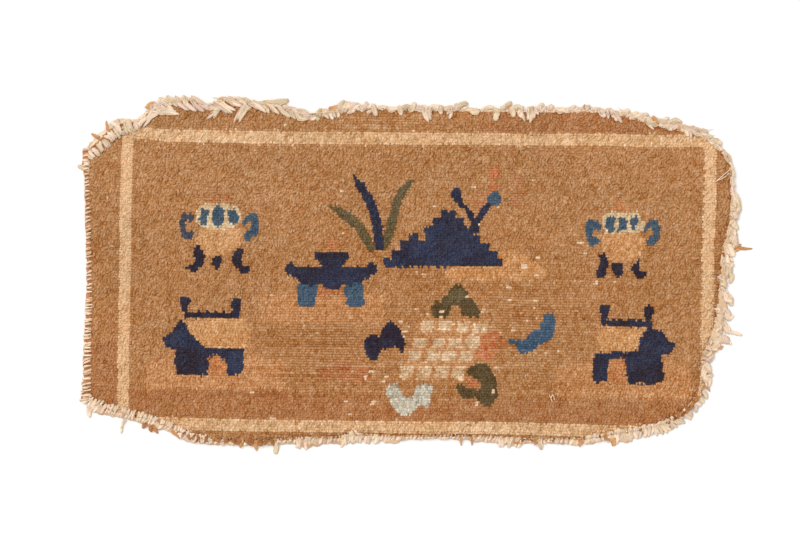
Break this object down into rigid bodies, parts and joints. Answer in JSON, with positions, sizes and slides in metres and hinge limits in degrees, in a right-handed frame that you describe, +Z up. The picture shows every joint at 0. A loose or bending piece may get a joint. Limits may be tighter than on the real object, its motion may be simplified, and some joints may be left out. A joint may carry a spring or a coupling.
{
  "type": "small hand-knotted Peking rug",
  "caption": "Small worn pile rug with rounded corners, a striped border, mirrored censers and tables, and frayed cotton edges.",
  "frame": {"origin": "on the floor, under the middle of the rug with its fringes", "axes": "+X along the long sides to the right, +Y to the far long side, +Z up from the floor to the pile"},
  "size_m": [0.6784, 0.3592, 0.0102],
  "materials": {
    "camel_wool": "matte wool pile",
    "straw_wool": "matte wool pile",
    "navy_wool": "matte wool pile",
    "blue_wool": "matte wool pile",
    "olive_wool": "matte wool pile",
    "ivory_wool": "matte wool pile",
    "rust_wool": "matte wool pile",
    "cotton": "matte felted cotton"
  },
  "bodies": {
    "root": {"rug_cloth": "camel_wool", "fringe_near": "cotton", "fringe_right": "cotton", "fringe_far": "cotton", "overcast_left": "cotton"}
  },
  "joints": []
}
